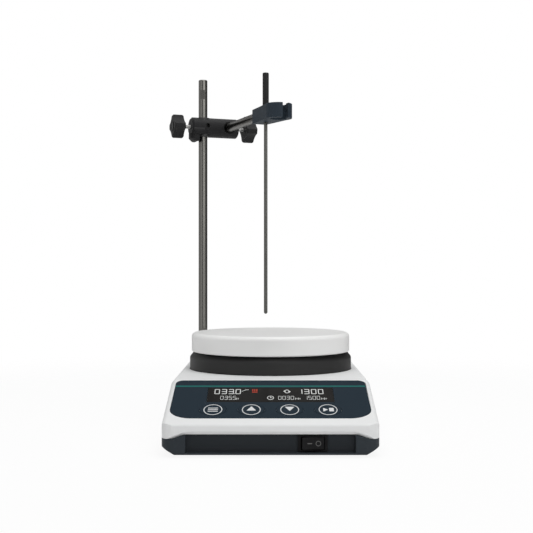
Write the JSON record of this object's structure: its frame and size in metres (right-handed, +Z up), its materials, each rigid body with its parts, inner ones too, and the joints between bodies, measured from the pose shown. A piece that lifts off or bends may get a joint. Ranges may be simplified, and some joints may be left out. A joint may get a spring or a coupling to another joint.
{
  "type": "hotplate stirrer",
  "caption": "Bench hotplate with a magnetic stirrer, sloped key panel, rear support rod, clamp head and an adjustable temperature sensor over a round ceramic-coated plate.",
  "frame": {"origin": "centre of the base's footprint, on the bench plane under the four feet", "axes": "+X to the user's right, +Y to the back, +Z up"},
  "size_m": [0.168, 0.2694, 0.3016],
  "materials": {
    "tray_navy": "fine moulded grain",
    "casing_white": "satin moulded white",
    "panel_film": "satin film",
    "key_film": "satin film",
    "display_lens": "glossy dark lens",
    "switch_black": "moulded black",
    "socket_black": "moulded black",
    "ring_grey": "matt heat-resistant moulding",
    "plate_ceramic": "white ceramic coating",
    "stainless": "drawn and polished",
    "plated_steel": "bright plating",
    "boss_black": "black anodised",
    "knob_black": "moulded black",
    "holder_navy": "moulded navy",
    "grip_black": "moulded black",
    "foot_rubber": "matt rubber",
    "board_green": "solder resist",
    "post_brass": "turned",
    "magnet_grey": "nickel plated",
    "motor_grey": "zinc plated",
    "carrier_alloy": "turned",
    "heater_mica": "pressed mica",
    "insulation_wool": "pressed fibre",
    "bush_nylon": "natural nylon"
  },
  "bodies": {
    "base": {"bottom_tray": "tray_navy", "rubber_feet": "foot_rubber", "casing_screws": "plated_steel", "power_board": "board_green", "power_posts": "post_brass", "board_screws": "plated_steel", "switch_body": "switch_black", "upper_casing": "casing_white", "control_overlay": "panel_film", "display_window": "display_lens", "display_module": "switch_black", "control_board": "board_green", "tact_switches": "switch_black", "mains_inlet": "switch_black", "inlet_pins": "plated_steel", "sensor_socket": "socket_black", "motor_bracket": "motor_grey", "motor_screws": "plated_steel", "stirrer_motor": "motor_grey", "insulating_ring": "ring_grey", "plate_standoffs": "plated_steel", "standoff_nuts": "plated_steel", "insulation_disc": "insulation_wool", "heater_element": "heater_mica", "plate_probe": "plated_steel", "heating_plate": "plate_ceramic", "rod_socket": "carrier_alloy", "support_rod": "stainless"},
    "rotor": {"motor_shaft": "plated_steel", "magnet_carrier": "carrier_alloy", "drive_magnets": "magnet_grey"},
    "rocker": {"power_rocker": "switch_black"},
    "key_menu": {"menu_key": "key_film"},
    "key_up": {"up_key": "key_film"},
    "key_down": {"down_key": "key_film"},
    "key_start": {"start_key": "key_film"},
    "slider": {"rod_bush": "bush_nylon"},
    "boss": {"boss_head": "boss_black"},
    "rod_screw": {"rod_clamp_screw": "plated_steel", "rod_clamp_knob": "knob_black"},
    "arm_screw": {"arm_clamp_screw": "plated_steel", "arm_clamp_knob": "knob_black"},
    "arm": {"sensor_arm": "stainless"},
    "holder": {"sensor_holder": "holder_navy"},
    "sensor": {"sensor_tube": "stainless", "sensor_grip": "grip_black"}
  },
  "joints": [
    {"name": "stirrer_spin", "type": "hinge", "parent": "base", "child": "rotor", "pos_m": [0, 0.049, 0.05], "axis": [0, 0, 1], "continuous": true},
    {"name": "rocker_tilt", "type": "hinge", "parent": "base", "child": "rocker", "pos_m": [0.0293, -0.1265, 0.00965], "axis": [0, 0, 1], "range_deg": [-10, 0]},
    {"name": "menu_press", "type": "slide", "parent": "base", "child": "key_menu", "axis": [0, 0.2672, -0.9636], "range_m": [0, 0.0005], "stiffness_N_per_m": 1500},
    {"name": "up_press", "type": "slide", "parent": "base", "child": "key_up", "axis": [0, 0.2672, -0.9636], "range_m": [0, 0.0005], "stiffness_N_per_m": 1500},
    {"name": "down_press", "type": "slide", "parent": "base", "child": "key_down", "axis": [0, 0.2672, -0.9636], "range_m": [0, 0.0005], "stiffness_N_per_m": 1500},
    {"name": "start_press", "type": "slide", "parent": "base", "child": "key_start", "axis": [0, 0.2672, -0.9636], "range_m": [0, 0.0005], "stiffness_N_per_m": 1500},
    {"name": "boss_height", "type": "slide", "parent": "base", "child": "slider", "axis": [0, 0, 1], "range_m": [-0.015, 0.03]},
    {"name": "boss_swivel", "type": "hinge", "parent": "slider", "child": "boss", "pos_m": [-0.0615, 0.102, 0.2585], "axis": [0, 0, 1], "continuous": true},
    {"name": "rod_knob_turn", "type": "hinge", "parent": "boss", "child": "rod_screw", "pos_m": [-0.07918, 0.09504, 0.2585], "axis": [0.9304, 0.3665, 0], "continuous": true},
    {"name": "arm_knob_turn", "type": "hinge", "parent": "boss", "child": "arm_screw", "pos_m": [-0.02521, 0.11629, 0.2585], "axis": [0.9304, 0.3665, 0], "continuous": true},
    {"name": "arm_reach", "type": "slide", "parent": "boss", "child": "arm", "axis": [0.3665, -0.9304, 0], "range_m": [-0.04, 0.02]},
    {"name": "holder_roll", "type": "hinge", "parent": "arm", "child": "holder", "pos_m": [-0.00941, 0.03116, 0.2585], "axis": [0.3665, -0.9304, 0], "range_deg": [-45, 45]},
    {"name": "sensor_lift", "type": "slide", "parent": "holder", "child": "sensor", "axis": [0, 0, 1], "range_m": [0, 0.1]}
  ]
}
